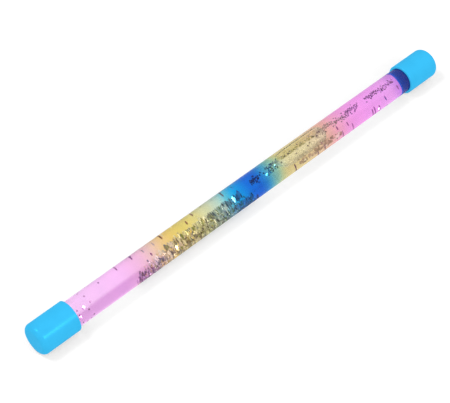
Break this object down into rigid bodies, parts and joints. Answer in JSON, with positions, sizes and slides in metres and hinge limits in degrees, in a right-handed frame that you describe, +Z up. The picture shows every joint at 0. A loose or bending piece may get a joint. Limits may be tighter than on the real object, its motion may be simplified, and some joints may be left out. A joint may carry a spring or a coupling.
{
  "type": "liquid glitter wand",
  "caption": "Clear rainbow-tinted tube with two push-on end caps, filled with liquid, loose glitter and an air bubble that run from end to end when it is tipped.",
  "frame": {"origin": "centre of the footprint, on the floor plane that both caps lie on, midway between the two closed ends", "axes": "+X along the wand from the left cap to the right cap, +Z up, -Y towards the viewer's side"},
  "size_m": [0.316, 0.019, 0.019],
  "materials": {
    "tinted_acrylic": "polished",
    "blue_plastic": "satin",
    "natural_plastic": "satin",
    "clear_liquid": "polished",
    "air": "polished",
    "silver_foil": "polished",
    "violet_foil": "polished"
  },
  "bodies": {
    "wand": {"tube": "tinted_acrylic", "left_cap": "blue_plastic", "right_cap": "blue_plastic", "left_plug": "natural_plastic", "right_plug": "natural_plastic", "liquid": "clear_liquid", "clinging_glitter": "violet_foil"},
    "bubble": {"air_bubble": "air", "small_bubbles": "air", "bubble_glitter": "silver_foil"},
    "floaters": {"floating_glitter": "violet_foil"},
    "settled": {"settled_glitter": "silver_foil"},
    "fines": {"fine_glitter": "silver_foil"}
  },
  "joints": [
    {"name": "bubble_travel", "type": "slide", "parent": "wand", "child": "bubble", "axis": [1, 0, 0], "range_m": [-0.155, 0.077], "deforming": ["liquid"]},
    {"name": "floaters_drift", "type": "slide", "parent": "wand", "child": "floaters", "axis": [1, 0, 0], "range_m": [-0.1, 0.018], "deforming": ["liquid"]},
    {"name": "settled_slide", "type": "slide", "parent": "wand", "child": "settled", "axis": [1, 0, 0], "range_m": [-0.05, 0.138], "deforming": ["liquid"]},
    {"name": "fines_drift", "type": "slide", "parent": "wand", "child": "fines", "axis": [1, 0, 0], "range_m": [-0.05, 0.131], "deforming": ["liquid"]}
  ]
}
